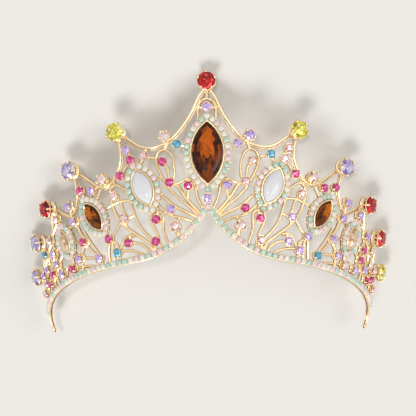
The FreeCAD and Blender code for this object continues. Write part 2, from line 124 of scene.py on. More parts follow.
# s, h, then the colours left and right: a aqua, f fuchsia, r rose, v violet
ACCENTS = [
    (11.7, 50.5, "av"), (8, 30.5, "fv"), (15.5, 32.7, "fr"), (17.8, 42.8, "fr"),
    (25, 47, "ra"), (30.8, 46, "fr"), (32, 51.2, "vr"), (36.2, 39.7, "ff"),
    (15.7, 20.2, "vf"), (22.6, 16.2, "ff"), (23.6, 6, "fr"), (37.2, 19.3, "rv"),
    (40.3, 31, "rr"), (46.3, 11.7, "fv"), (36.7, 7.6, "fv"), (43.1, 4.3, "av"),
    (53.6, 4.3, "va"), (61, 14.6, "fv"), (66, 7.7, "vv"), (56.5, 38.9, "ff"),
    (50.7, 36.7, "vf"), (65.4, 34.4, "vv"), (64.3, 26, "vv"), (75, 31.6, "rv"),
    (84.2, 24.5, "rv"), (92, 20.2, "ar"), (84.2, 17.2, "vf"), (83.8, 11.6, "vf"),
    (72.3, 4.9, "fr"), (81, 5.2, "vv"), (89.4, 8.6, "fv"), (94, 12.8, "vr"),
    (100.6, 12.6, "vr"), (94.8, 5.2, "ff"), (100.3, 8, "rf"), (106, 4.9, "rr"),
]

OUTLINES = [
    [(0, 77), (2.5, 73), (4, 69), (6, 64), (8.8, 59), (11.7, 55), (15, 52), (19, 50.3),
     (23.2, 50), (27, 51.8), (30.2, 55), (33.5, 59)],
    [(35, 58), (34.6, 53), (35, 48), (36.2, 44), (38.2, 40.5), (41.2, 37.4), (45, 36.2),
     (48.5, 38), (51.5, 41.4), (54.5, 45), (57.8, 48.6)],
    [(59, 47.5), (58.9, 43.2), (59.1, 39.7), (59.8, 36), (62, 32), (66, 29.2),
     (70.4, 32), (74, 35.6), (77, 37.6)],
]
RIBS = [
    # ribs that fan into the point of the band
    [(15.5, 32.7), (12.5, 30.9), (10.2, 26.5), (7.2, 22.2), (3.6, 17.6)],
    [(20.5, 27.5), (18, 25.6), (15.8, 22.9), (12.9, 20.6), (10, 18.8), (4.6, 15.6)],
    [(43, 31.9), (42.4, 26.2), (41, 21), (38.5, 17), (35.2, 13), (31, 9.2), (26.6, 4.6),
     (26, 0.4)],
    [(66, 29.2), (64.3, 26), (62.8, 20), (61, 14.6), (64, 11), (66, 7.7), (66.4, 1)],
    [(78, 38.5), (80.6, 30), (84.2, 24.5), (88, 22), (92, 20.2), (97, 16.6),
     (100.6, 12.6), (103.6, 8.6), (106, 4.9), (107.6, -0.6)],
]
WIRES = [
    # loop beside the centre halo and its inner bar
    [(15.5, 32.7), (13.8, 35.3), (13.4, 39), (13.6, 43), (14.8, 47), (17, 48.7),
     (19.4, 47.5), (20.6, 44.3), (20, 40), (18.5, 35.6), (16.8, 31.4), (14.8, 28.2),
     (11.7, 24.4), (8.2, 21), (4.4, 16.4)],
    [(17.8, 42.8), (16.3, 40), (15.9, 36), (15.5, 32.7)],
    [(16, 54.5), (15.6, 51.6), (16.8, 48.7)],
    [(11.7, 50.5), (13.4, 53.6)],
    [(11.7, 50.5), (8.5, 49.5)],
    [(15.5, 32.7), (12.5, 32.2), (10.2, 33), (8, 34), (6, 32.5), (5, 29), (4.4, 25.2),
     (2.4, 20)],
    [(8, 34), (8, 30.5), (8.6, 24.4)],
    [(21.5, 23), (19, 20.2), (15.8, 17.3), (11.8, 16), (6.6, 14)],
    [(15.8, 22.9), (15.7, 20.2), (15.8, 17.3)],
    [(12.6, 16), (14.1, 12), (12.4, 7)],
    [(14.1, 12), (13.8, 8.6), (13.2, 6)],
    # upright loop under the white halo
    [(18, 3.4), (19.2, 7.3), (20, 11), (19.8, 14.5), (19.8, 18.3), (22.1, 20.2),
     (24.8, 19), (24.8, 14.5), (23.4, 10.4), (22.6, 7.6), (22, 1.6)],
    [(22.6, 16.2), (22.1, 20.2), (23, 23.5)],
    [(19.8, 14.5), (22.6, 16.2), (24.8, 14.5)],
    [(23.6, 6), (25.6, 2)],
    # loop under the second valley with its cross bars
    [(24, 1.2), (25.6, 7), (28.6, 10.8), (31.2, 15.2), (32.4, 19), (33.1, 23.2),
     (33.9, 27.7), (35.1, 31.6), (37, 34.6), (39.4, 36.2), (41.8, 35), (43, 31.9)],
    [(39.4, 36.2), (40.4, 38.4)],
    [(34, 27.4), (38, 28), (42.5, 27.4), (46.8, 26)],
    [(40.3, 31), (38.6, 27.6), (37.2, 19.3), (37.6, 16)],
    [(32.6, 20), (37.2, 19.3), (40.6, 20)],
    [(43, 0), (43.1, 4.3), (38.4, 4.4), (32, 1.8), (29.5, -0.2)],
    [(36.7, 7.6), (33, 6.8), (28.8, 3.6), (27.4, 0.2)],
    [(43.1, 4.3), (40.8, 7.8), (39.2, 10), (36.4, 11.3), (34, 10.2)],
    [(36.7, 7.6), (36.4, 11.3)],
    [(50, 17.5), (46.3, 11.7), (43.4, 8.2), (43.1, 4.3)],
    [(39.6, 18.4), (43, 14.6), (46.3, 11.7)],
    [(46.3, 11.7), (48, 8.4), (49.4, 0)],
    [(46.3, 11.7), (45.8, 7.6), (46.6, 0)],
    # fan under the amber navette
    [(60.5, 19.5), (57.8, 13.2), (53.6, 4.3), (53.4, 0)],
    [(61, 14.6), (58.4, 9.6), (53.6, 4.3)],
    [(66, 7.7), (61, 6.6), (53.6, 4.3)],
    [(72.3, 4.9), (67, 3.8), (60, 2.2), (56, 0.4)],
    [(61, 14.6), (64.6, 15.6), (67.6, 16.8)],
    [(59, 25), (64.3, 26), (69.2, 24)],
    [(66, 29.2), (65.4, 34.4)],
    [(72.3, 0.8), (72.3, 4.9), (71.8, 10.6)],
    [(66, 7.7), (69.6, 12)],
    # links round the two big halos
    [(24.4, 50), (25, 47), (27.6, 43.2)],
    [(34.6, 53), (32, 51.2), (30.8, 46), (30.4, 43)],
    [(30.8, 46), (33.6, 43.2), (36.2, 39.7), (38.4, 40.4)],
    [(36.2, 39.7), (33.4, 37)],
    [(25, 47), (21, 45.2)],
    [(18.6, 36), (22, 35.4)],
    [(44, 40), (44.6, 36.3)],
    [(46.8, 36.4), (49.8, 32)],
    [(48.5, 38), (50.7, 36.7), (53, 33.6)],
    [(59, 41), (56.5, 38.9), (56.8, 33.8)],
    # set field at the side
    [(75.4, 36.5), (75, 31.6), (74.6, 27.6)],
    [(75, 31.6), (80, 28), (84.2, 24.5), (84.2, 17.2), (83.8, 11.6), (81, 5.2),
     (81, 1)],
    [(78, 20), (84.2, 17.2), (88.6, 14.6), (94, 12.8), (100.6, 12.6)],
    [(94, 28), (92, 20.2), (88.6, 14.6), (83.8, 11.6), (89.4, 8.6), (94, 12.8),
     (94.8, 5.2), (94.8, 1)],
    [(92, 20.2), (94, 12.8)],
    [(94, 28), (98.4, 21), (100.6, 12.6), (100.3, 8), (100, 0.8)],
    [(89.4, 8.6), (94.8, 5.2), (100.3, 8), (106, 4.9)],
    [(81, 5.2), (89.4, 8.6), (88.4, 1)],
    [(72.3, 4.9), (76.6, 7.4), (81, 5.2)],
    [(77.6, 15), (83.8, 11.6)],
    [(107, 15), (100.6, 12.6)],
    [(107, 15), (107.4, 9.6), (106, 4.9)],
]
WIRES_MID = [
    [(0, 19.6), (0, 24.3), (0, 29.5)],
    [(-3.2, 60), (-3.2, 67.5), (-2, 70.6), (0, 71.8), (2, 70.6), (3.2, 67.5), (3.2, 60)],
    [(-3.2, 67.5), (0, 67.5), (3.2, 67.5)],
    [(0, 76), (0, 71.8)],
]

# ---- Where the face lies in the row frame ----


def worn_axes(s):
    """Outward, along, rise and normal directions of the worn tiara at s."""
    angle = s / BAND_RADIUS
    out = Vector((math.sin(angle), -math.cos(angle), 0))
    along = Vector((math.cos(angle), math.sin(angle), 0))
    rise = out * math.sin(FLARE) + Vector((0, 0, math.cos(FLARE)))
    normal = out * math.cos(FLARE) - Vector((0, 0, math.sin(FLARE)))
    return out, along, rise, normal


def worn_point(s, h, lift=0.0):
    out, along, rise, normal = worn_axes(s)
    radius = BAND_RADIUS + h * math.sin(FLARE)
    return out * radius + Vector((0, 0, h * math.cos(FLARE))) + normal * lift


def lying_pose():
    """Turn and shift in mm from the worn tiara to the row frame, found from one eye."""
    eye = next(m for m in frame["record"]["mounts"] if m["name"] == "eye_left")
    normal = worn_axes(-EYE[0])[3]
    _, y, z = eye["axis"]
    scale = normal.y ** 2 + normal.z ** 2
    cosine = (y * normal.y - z * normal.z) / scale
    sine = -(y * normal.z + z * normal.y) / scale
    turn = Matrix(((-1, 0, 0), (0, cosine, -sine), (0, -sine, -cosine)))
    # the mount's middle lies on the face, at the eye's own place
    shift = Vector(eye["pos_m"]) / MM - turn @ worn_point(-EYE[0], EYE[1])
    shift.x = 0.0
    return turn, shift


TURN, SHIFT = lying_pose()


def at(s, h, lift=0.0):
    """A place on the face, in metres."""
    return (TURN @ worn_point(s, h, lift) + SHIFT) * MM


def local(s, h, tilt=0.0, lift=0.0):
    """Matrix from a shape's own frame, in metres, to its place on the face.

    The shape is turned there by tilt degrees.
    """
    out, along, rise, normal = worn_axes(s)
    t = math.radians(tilt)
    across = along * math.cos(t) - rise * math.sin(t)
    up = along * math.sin(t) + rise * math.cos(t)
    m = Matrix((TURN @ across, TURN @ up, TURN @ normal)).transposed().to_4x4()
    m.translation = at(s, h, lift)
    return m


def lift_of(points):
    """Height over the face, in mm, of places in metres."""
    worn = (points / MM - np.array(SHIFT)) @ np.array(TURN)
    radius = np.hypot(worn[:, 0], worn[:, 1])
    return (radius - BAND_RADIUS) * math.cos(FLARE) - worn[:, 2] * math.sin(FLARE)


def smooth_path(path, step=0.7):
    """Points every step or so on a curve through the given ones."""
    pts = [np.array(p, float) for p in path]
    pts = [2 * pts[0] - pts[1]] + pts + [2 * pts[-1] - pts[-2]]
    result = []
    for p0, p1, p2, p3 in zip(pts, pts[1:], pts[2:], pts[3:]):
        d1 = max(np.linalg.norm(p1 - p0), 1e-6) ** 0.5
        d2 = max(np.linalg.norm(p2 - p1), 1e-6) ** 0.5
        d3 = max(np.linalg.norm(p3 - p2), 1e-6) ** 0.5
        leave = d2 * ((p1 - p0) / d1 - (p2 - p0) / (d1 + d2) + (p2 - p1) / d2)
        reach = d2 * ((p2 - p1) / d2 - (p3 - p1) / (d2 + d3) + (p3 - p2) / d3)
        count = max(1, int(round(np.linalg.norm(p2 - p1) / step)))
        for i in range(count):
            t = i / count
            result.append((2 * t ** 3 - 3 * t ** 2 + 1) * p1
                          + (t ** 3 - 2 * t ** 2 + t) * leave
                          + (-2 * t ** 3 + 3 * t ** 2) * p2 + (t ** 3 - t ** 2) * reach)
    return result + [pts[-2]]


def stretch(h):
    """Length along the face at h for each mm along the band."""
    return 1.0 + h * math.sin(FLARE) / BAND_RADIUS


def mirror(path):
    return [(-s, h) for s, h in path]


def both(paths):
    return list(paths) + [mirror(p) for p in paths]


# ---- Node graphs ----


class Value:
    """A socket whose arithmetic adds Math nodes to its tree."""

    def __init__(self, graph, socket):
        self.graph = graph
        self.socket = socket

    def _math(self, operation, a, b):
        return self.graph.node("ShaderNodeMath", {"operation": operation}, {0: a, 1: b})

    def __add__(self, other):
        return self._math("ADD", self, other)

    def __radd__(self, other):
        return self._math("ADD", other, self)

    def __sub__(self, other):
        return self._math("SUBTRACT", self, other)

    def __rsub__(self, other):
        return self._math("SUBTRACT", other, self)

    def __mul__(self, other):
        return self._math("MULTIPLY", self, other)

    def __truediv__(self, other):
        return self._math("DIVIDE", self, other)

    def clamp(self):
        return self.graph.node("ShaderNodeClamp", {}, {"Value": self})


class Graph:
    """A node tree with one way to add a node."""

    def __init__(self, tree):
        self.tree = tree

    def give(self, socket, value):
        """Links a value to a socket, or sets a plain one on it."""
        if isinstance(value, Value):
            self.tree.links.new(value.socket, socket)
        else:
            socket.default_value = value

    def raw(self, kind, settings=None, values=None):
        made = self.tree.nodes.new(kind)
        for name, value in (settings or {}).items():
            setattr(made, name, value)
        for name, value in (values or {}).items():
            self.give(made.inputs[name], value)
        return made

    def node(self, kind, settings=None, values=None, out=0):
        return Value(self, self.raw(kind, settings, values).outputs[out])

    def mix(self, factor, a, b):
        """Blend of two colours."""
        made = self.raw("ShaderNodeMix", {"data_type": "RGBA"})
        for index, value in ((0, factor), (6, a), (7, b)):
            self.give(made.inputs[index], value)
        return Value(self, made.outputs[2])


def rgb(r, g, b):
    """Linear colour from eight-bit display values."""
    def one(v):
        v /= 255.0
        return v / 12.92 if v <= 0.04045 else ((v + 0.055) / 1.055) ** 2.4
    return (one(r), one(g), one(b), 1.0)


def new_material(name):
    material = bpy.data.materials.new(name)
    material.use_nodes = True
    graph = Graph(material.node_tree)
    material.node_tree.nodes.clear()
    shader = graph.raw("ShaderNodeBsdfPrincipled")
    out = graph.raw("ShaderNodeOutputMaterial")
    material.node_tree.links.new(shader.outputs[0], out.inputs[0])
    return material, graph, shader


def feed(graph, shader, **links):
    for name, value in links.items():
        graph.give(shader.inputs[name.replace("_", " ")], value)


def noise(graph, scale, detail):
    """Noise on the piece's own Object coordinates."""
    place = graph.node("ShaderNodeTexCoord", out="Object")
    return graph.node("ShaderNodeTexNoise", {"noise_dimensions": "3D"},
                      {"Vector": place, "Scale": scale, "Detail": detail})


def own(graph, name, out):
    """The piece's own attribute."""
    return graph.node("ShaderNodeAttribute", {"attribute_name": name}, out=out)


# painted light on the gold, placed by lift: a cream highlight, an orange shade and a
# deeper brown shade
CREST_HIGHLIGHT_GOLD = rgb(252, 230, 190)
FLANK_SHADE_GOLD = rgb(176, 112, 50)
DEEP_SHADE_GOLD = rgb(98, 50, 16)
GOLD_ROUGHNESS = 0.24
# Lifts in mm where the painted highlight starts towards the crests and the back, and over
# what run it fades in from the painted shade.
CREST_FROM = 0.02
BACK_FROM = -0.2
TONE_RUN = 0.4


def gold_material():
    """Gold: painted cream highlight on crests and backs, painted orange to brown shade on
    flanks.
    """
    material, graph, shader = new_material("polished_gold")
    lift = own(graph, "lift", "Fac")
    cloud = noise(graph, 260.0, 3.0)
    fine = noise(graph, 2400.0, 2.0)
    # noise that makes the painted highlight and painted shade patchy
    patchy_light = (cloud - 0.5) * 0.5
    # painted highlight on the crests (high lift) and on the backs (low lift)
    upper = ((lift - CREST_FROM) / TONE_RUN + patchy_light).clamp()
    under = ((BACK_FROM - lift) / TONE_RUN + patchy_light).clamp()
    painted_highlight_share = (upper + under).clamp()
    # painted shade on the flanks, orange mixed with brown
    painted_shade = graph.mix((0.55 + patchy_light * 2.2).clamp(), DEEP_SHADE_GOLD, FLANK_SHADE_GOLD)
    rough = GOLD_ROUGHNESS + (fine - 0.5) * 0.12 + (1.0 - painted_highlight_share) * 0.1
    bump = graph.node("ShaderNodeBump", {}, {"Height": fine, "Strength": 0.12,
                                             "Distance": 0.0001})
    feed(graph, shader, Base_Color=graph.mix(painted_highlight_share, painted_shade, CREST_HIGHLIGHT_GOLD), Metallic=1.0,
         Roughness=rough.clamp(), Normal=bump)
    return material


def opal_material():
    """Milky opal glass whose colour is the stone's own tint with a cloudy play."""
    material, graph, shader = new_material("milky_opal")
    tint = own(graph, "tint", "Color")
    cloud = noise(graph, 700.0, 2.0)
    flash = noise(graph, 1500.0, 1.0)
    pale = graph.mix((cloud * 1.4 - 0.4).clamp(), tint, rgb(240, 236, 226))
    shown = graph.mix(((flash - 0.55) * 2.5).clamp() * 0.5, pale, rgb(206, 226, 214))
    feed(graph, shader, Base_Color=shown, Roughness=(0.12 + cloud * 0.12).clamp(),
         Coat_Weight=0.6, Coat_Roughness=0.05)
    return material


# painted white glint for the brightest facets
GLINT = rgb(255, 250, 246)


def gem_material(name, body, lit_facet_colour, foil=0.4, shine=0.35, roughness=0.06, bright=1.0,
                 glints=0.75):
    """Foil-backed cut glass: painted sparkle from dark to lit facets, and painted glints
    on the brightest. each facet has its own depth of colour.
    """
    material, graph, shader = new_material(name)
    facet = own(graph, "facet", "Fac")
    cloud = noise(graph, 420.0, 1.0)
    # painted sparkle: each facet painted from its dark to its lit colour
    painted_facet_light = graph.mix((facet * bright + (cloud - 0.5) * 0.15).clamp(), body, lit_facet_colour)
    # painted glint on the brightest facets
    with_painted_glints = graph.mix(((facet - 0.86) * 7.0).clamp() * glints, painted_facet_light, GLINT)
    feed(graph, shader, Base_Color=with_painted_glints, Roughness=(roughness + cloud * 0.04).clamp(),
         Metallic=foil, Coat_Weight=shine, Coat_Roughness=0.03, Specular_IOR_Level=shine)
    return material


GOLD = gold_material()
OPAL = opal_material()
# letter: name, darkest facet, brightest painted-lit facet, what differs from plain cut
# glass
GLASSES = {
    "a": ("aqua", (20, 120, 175), (120, 215, 240), {}),
    "f": ("fuchsia", (150, 10, 75), (242, 92, 168), {"bright": 1.2}),
    "r": ("rose", (196, 126, 134), (254, 232, 230), {"bright": 1.6}),
    "v": ("violet", (140, 100, 200), (228, 206, 250), {"bright": 1.3}),
    "R": ("red", (72, 0, 5), (240, 24, 28), {"bright": 0.95, "glints": 0.15}),
    "Y": ("yellow", (146, 140, 8), (246, 238, 96), {"bright": 1.4}),
    "L": ("lavender", (118, 98, 172), (234, 222, 248), {}),
    "S": ("pale_rose", (176, 104, 116), (255, 238, 236), {"bright": 1.5}),
    "V": ("raised_violet", (130, 95, 200), (225, 205, 250), {}),
}
GEMS = {letter: (name, gem_material(name + "_glass", rgb(*dark), rgb(*light), **differs))
        for letter, (name, dark, light, differs) in GLASSES.items()}
AMBER = {"foil": 0.1, "shine": 0.15}
NAVETTE_GLASS = {
    "centre": gem_material("smoked_amber_glass", rgb(34, 8, 2), rgb(236, 112, 8), **AMBER),
    "white": gem_material("white_opal_glass", rgb(230, 233, 240), rgb(244, 244, 248),
                          foil=0.0),
    "amber": gem_material("small_amber_glass", rgb(44, 10, 3), rgb(242, 130, 12), **AMBER),
    "champagne": gem_material("champagne_glass", rgb(158, 98, 44), rgb(255, 236, 200),
                              foil=0.2),
}
OPAL_TINTS = {"m": rgb(172, 216, 200), "p": rgb(244, 208, 216), "w": rgb(244, 240, 228)}

# ---- Meshes ----


def mesh_object(name, vertices, faces, edges=()):
    mesh = bpy.data.meshes.new(name)
    mesh.from_pydata([tuple(v) for v in vertices], list(edges), faces)
    mesh.update()
    obj = bpy.data.objects.new(name, mesh)
    bpy.context.scene.collection.objects.link(obj)
    return obj


def store(obj, name, kind, values, domain="POINT"):
    layer = obj.data.attributes.new(name, kind, domain)
    field = {"FLOAT": "value", "FLOAT_VECTOR": "vector", "FLOAT_COLOR": "color"}[kind]
    layer.data.foreach_set(field, np.asarray(values, np.float32).ravel())


def solid(name, shape, material, smooth=False):
    """Closed mesh from its vertices and faces, with its faces turned outwards."""
    obj = mesh_object(name, *shape)
    work = bmesh.new()
    work.from_mesh(obj.data)
    bmesh.ops.remove_doubles(work, verts=work.verts, dist=1e-7)
    bmesh.ops.recalc_face_normals(work, faces=work.faces)
    work.to_mesh(obj.data)
    work.free()
    obj.data.polygons.foreach_set("use_smooth", [smooth] * len(obj.data.polygons))
    obj.data.materials.append(material)
    return obj


def plain(obj, name):
    """The object's evaluated shape as a plain mesh object; the source goes away."""
    graph = bpy.context.evaluated_depsgraph_get()
    mesh = bpy.data.meshes.new_from_object(obj.evaluated_get(graph))
    source = obj.data
    bpy.data.objects.remove(obj)
    bpy.data.meshes.remove(source)
    result = bpy.data.objects.new(name, mesh)
    mesh.name = name
    bpy.context.scene.collection.objects.link(result)
    return result


def geometry_tree(name, sockets):
    tree = bpy.data.node_groups.new(name, "GeometryNodeTree")
    geometry = ("Geometry", "NodeSocketGeometry")
    for label, kind in [geometry] + sockets:
        tree.interface.new_socket(label, in_out="INPUT", socket_type=kind)
    tree.interface.new_socket(geometry[0], in_out="OUTPUT", socket_type=geometry[1])
    graph = Graph(tree)
    entry = tree.nodes.new("NodeGroupInput")
    inputs = {socket.name: Value(graph, socket) for socket in entry.outputs if socket.name}
    return tree, graph, inputs


def close_tree(tree, graph, inputs, shape):
    """Ends a tree in real geometry with its material."""
    real = graph.node("GeometryNodeRealizeInstances", {}, {0: shape})
    done = graph.node("GeometryNodeSetMaterial", {},
                      {"Geometry": real, "Material": inputs["Material"]})
    tree.links.new(done.socket, tree.nodes.new("NodeGroupOutput").inputs[0])
    return tree


def wire_tree():
    """Round wire along every line of a mesh."""
    tree, graph, inputs = geometry_tree(
        "wire", [("Radius", "NodeSocketFloat"), ("Sides", "NodeSocketInt"),
                 ("Material", "NodeSocketMaterial")])
    curve = graph.node("GeometryNodeMeshToCurve", {}, {"Mesh": inputs["Geometry"]})
    profile = graph.node("GeometryNodeCurvePrimitiveCircle", {},
                         {"Resolution": inputs["Sides"], "Radius": inputs["Radius"]})
    tube = graph.node("GeometryNodeCurveToMesh", {},
                      {"Curve": curve, "Profile Curve": profile, "Fill Caps": True})
    smooth = graph.node("GeometryNodeSetShadeSmooth", {}, {0: tube})
    return close_tree(tree, graph, inputs, smooth)


def setting_tree():
    """One shape set on every point, turned by the point's own out and along."""
    tree, graph, inputs = geometry_tree(
        "setting", [("Shape", "NodeSocketObject"), ("Material", "NodeSocketMaterial")])
    shape = graph.node("GeometryNodeObjectInfo", {"transform_space": "ORIGINAL"},
                       {"Object": inputs["Shape"]}, out="Geometry")
    out, along, grow = (
        graph.node("GeometryNodeInputNamedAttribute", {"data_type": kind}, {"Name": name})
        for name, kind in (("out", "FLOAT_VECTOR"), ("along", "FLOAT_VECTOR"),
                           ("grow", "FLOAT")))
    turn = graph.node("FunctionNodeAxesToRotation",
                      {"primary_axis": "Z", "secondary_axis": "X"}, {0: out, 1: along})
    placed = graph.node("GeometryNodeInstanceOnPoints", {},
                        {"Points": inputs["Geometry"], "Instance": shape, "Rotation": turn,
                         "Scale": grow})
    return close_tree(tree, graph, inputs, placed)


WIRE_TREE = wire_tree()
SETTING_TREE = setting_tree()


def run_tree(obj, tree, values, name):
    modifier = obj.modifiers.new("build", "NODES")
    modifier.node_group = tree
    for item in tree.interface.items_tree:
        if item.in_out == "INPUT" and item.name in values:
            modifier[item.identifier] = values[item.name]
    obj.update_tag()
    return plain(obj, name)


def wires(name, lines, radius, sides):
    """Round gold wires along places in metres; a closed line repeats its first place."""
    points = []
    edges = []
    for line in lines:
        first = len(points)
        points.extend(line)
        edges.extend((i, i + 1) for i in range(first, len(points) - 1))
    source = mesh_object(name + "_line", points, [], edges)
    return run_tree(source, WIRE_TREE, {"Radius": radius * MM, "Sides": sides,
                                        "Material": GOLD}, name)


def set_shapes(name, shape, spots, material, tints=None):
    """The shape on every spot: a spot is a matrix and a size."""
    source = mesh_object(name + "_spots", [m.translation for m, grow in spots], [])
    for label, column in (("out", 2), ("along", 0)):
        store(source, label, "FLOAT_VECTOR",
              [m.to_3x3().col[column].normalized() for m, grow in spots])
    store(source, "grow", "FLOAT", [grow for m, grow in spots])
    if tints:
        store(source, "tint", "FLOAT_COLOR", tints)
    return run_tree(source, SETTING_TREE, {"Shape": shape, "Material": material}, name)


def join(name, objects):
    """Several plain meshes as one."""
    target = objects[0]
    with bpy.context.temp_override(active_object=target, object=target,
                                   selected_objects=objects,
                                   selected_editable_objects=objects):
        bpy.ops.object.join()
    target.name = name
    target.data.name = name
    return target


def gold_piece(name, objects):
    """Joins gold meshes and notes each vertex's lift, which places the gold's painted
    highlight and painted shade.
    """
    piece = join(name, objects) if len(objects) > 1 else objects[0]
    piece.name = name
    mesh = piece.data
    places = np.empty(len(mesh.vertices) * 3, np.float32)
    mesh.vertices.foreach_get("co", places)
    store(piece, "lift", "FLOAT", lift_of(places.reshape(-1, 3).astype(float)))
    mesh.materials.clear()
    mesh.materials.append(GOLD)
    mesh.polygons.foreach_set("material_index", [0] * len(mesh.polygons))
    return piece


def spoke(degrees, reach, z):
    """Place in a shape's own frame, in metres: an angle round its axis, a distance, z."""
    t = math.radians(degrees)
    return Vector((reach * math.cos(t), reach * math.sin(t), z)) * MM


def ring(radius, count, z, phase=0.0):
    return [spoke(360.0 * (i + phase) / count, radius, z) for i in range(count)]


def stacked(rings, cap_low=True, cap_high=True):
    """Faces through rings of the same count."""
    vertices = [v for r in rings for v in r]
    n = len(rings[0])
    faces = []
    for k in range(len(rings) - 1):
        for i in range(n):
            j = (i + 1) % n
            faces.append((k * n + i, k * n + j, (k + 1) * n + j, (k + 1) * n + i))
    if cap_low:
        faces.append(tuple(range(n - 1, -1, -1)))
    if cap_high:
        faces.append(tuple((len(rings) - 1) * n + i for i in range(n)))
    return vertices, faces


def turned(profile, count):
    """Faces of a turned shape, with a ring for each radius and height of its profile."""
    return stacked([ring(radius, count, z) for radius, z in profile])


TOOLS = []


def hidden(obj):
    """A shape that only serves the node trees; it is removed at the end."""
    obj.hide_render = True
    TOOLS.append(obj)
    return obj


def dome_shape():
    """Low round cabochon."""
    profile = ((0.94, 0), (1.0, 0.4), (0.94, 0.74), (0.72, 0.94), (0.3, 1.0))
    shape = turned([(OPAL_RADIUS * r, OPAL_HEIGHT * z) for r, z in profile], 10)
    return hidden(solid("dome_tool", shape, OPAL, True))


def chances(obj, seed):
    """A random number for every face."""
    return np.random.default_rng(seed).random(len(obj.data.polygons))


def brilliant_shape(name, radius, height, material, seed):
    """Round brilliant: short pavilion, sixteen-sided girdle, kites and a starred table."""
    girdle = height * 0.5
    foot = ring(radius * 0.3, 8, 0.0)
    low = ring(radius * 0.98, 16, girdle * 0.94)
    high = ring(radius, 16, girdle * 1.1)
    kite = ring(radius * 0.8, 8, height * 0.82, 0.5)
    table = ring(radius * 0.6, 8, height * 0.97)
    star = ring(radius * 0.3, 8, height, 0.5)
    middle = [Vector((0, 0, height * 0.99)) * MM]
    vertices = foot + low + high + kite + table + star + middle
    # where each ring starts among the vertices; the foot starts at 0
    lo, hi, k, t, c, mid = 8, 24, 40, 48, 56, 64
    faces = [tuple(range(7, -1, -1))] + [(c + i, c + (i + 1) % 8, mid) for i in range(8)]
    for i in range(8):
        j = (i + 1) % 8
        before = (i - 1) % 8
        a, b, d = 2 * i, 2 * i + 1, (2 * i + 2) % 16
        faces += [(i, lo + b, lo + a), (i, j, lo + b), (j, lo + d, lo + b)]
        faces += [(lo + a, lo + b, hi + b, hi + a), (lo + b, lo + d, hi + d, hi + b)]
        faces += [(hi + a, hi + b, k + i), (hi + b, hi + d, k + i)]
        faces += [(k + i, t + j, t + i), (hi + a, k + i, t + i, k + before)]
        faces += [(t + i, t + j, c + i), (t + j, c + j, c + i)]
    obj = solid(name, (vertices, faces), material)
    store(obj, "facet", "FLOAT", chances(obj, seed), "FACE")
    return hidden(obj)


def navette_line(length, width, grow, count, z=0.0):
    """Pointed oval of two equal arcs, starting at its lowest point, in mm."""
    a = length / 2.0
    b = width / 2.0
    radius = (a * a + b * b) / (2.0 * b)
    reach = math.asin(a / radius)
    half = count // 2
    points = []
    for side in (1, -1):
        for i in range(half):
            t = (-1 + 2.0 * i / half) * reach * side
            x = side * (radius * math.cos(t) - radius + b)
            y = radius * math.sin(t)
            out = Vector((side * math.cos(t), math.sin(t)))
            if i == 0:
                out = Vector((0, -side * 1.15))
            points.append(Vector((x + out.x * grow, y + out.y * grow, z)))
    return points


# ---- Pieces ----

SIDES = (("left", -1), ("right", 1))


def piece_of(obj, slot_name, *nodes):
    if nodes:
        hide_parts(*nodes)
    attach(obj, "root")
    return obj


def on_face(path, lift):
    return [at(s, h, lift) for s, h in smooth_path(path)]


def beside(path, offset, lift, step=0.7):
    """A line that keeps an offset to the left of a path, on the face."""
    line = smooth_path(path, step)
    result = []
    for i, p in enumerate(line):
        a = line[max(0, i - 1)]
        b = line[min(len(line) - 1, i + 1)]
        k = stretch(p[1])
        run = np.array(((b[0] - a[0]) * k, b[1] - a[1]))
        run /= np.linalg.norm(run)
        result.append(at(p[0] - run[1] * offset / k, p[1] + run[0] * offset, lift))
    return result


def bead_spot(place, grow):
    return Matrix.Translation(place), grow


def bead_shape():
    """Small bead for prongs and claw tips, of radius 1."""
    angles = [math.radians(a) for a in (35, 90, 145)]
    shape = turned([(math.sin(t), -math.cos(t)) for t in angles], 6)
    return hidden(solid("bead_tool", shape, GOLD, True))


def stretch_places(path, pitch, stop):
    """Flat places at an even pitch along the band, from its point outwards."""
    line = smooth_path(path, 0.5)
    places = [tuple(line[0])]
    left = pitch
    for a, b in zip(line, line[1:]):
        run = math.hypot((b[0] - a[0]) * stretch(a[1]), b[1] - a[1])
        while left <= run and a[0] < stop:
            places.append(tuple(a + (b - a) * left / run))
            left += pitch
        left -= run
    return places


BEAD = bead_shape()
DOME = dome_shape()
full_rim = mirror(RIM[:0:-1]) + RIM
rim_places = stretch_places(RIM, RIM_PITCH, RIM_STONES_END)


def rim_run(s):
    """Direction of the band's line at s, as drawn flat."""
    after = next(p for p in RIM if p[0] > s)
    before = [p for p in RIM if p[0] <= s][-1]
    run = np.array(after, float) - np.array(before, float)
    return run / np.linalg.norm(run)


def build_band():
    """Channel for the band opals: a floor, four edge wires and prong beads."""
    half, low, high = BAND_FLOOR
    corners = [beside(full_rim, offset, lift, 1.0) for offset, lift in
               ((half, low), (-half, low), (-half, high), (half, high))]
    parts = [solid("band_floor", stacked(list(zip(*corners))), GOLD)]
    for name, (radius, offset, lift) in (("band_edge", BAND_EDGE),
                                         ("band_low_edge", BAND_LOW_EDGE)):
        lines = [beside(full_rim, offset, lift), beside(full_rim, -offset, lift)]
        parts.append(wires(name, lines, radius, 6))
    grow, offset, lift = BAND_PRONG
    prongs = []
    for s, h in stretch_places(RIM, RIM_PITCH / 2.0, RIM_STONES_END)[1::2]:
        run = rim_run(s)
        for name, side in SIDES:
            for aside in (-offset, offset):
                spot = at(side * (s - run[1] * aside), h + run[0] * aside, lift)
                prongs.append(bead_spot(spot, grow))
    parts.append(set_shapes("band_prongs", BEAD, prongs, GOLD))
    return gold_piece("band_channel", parts)


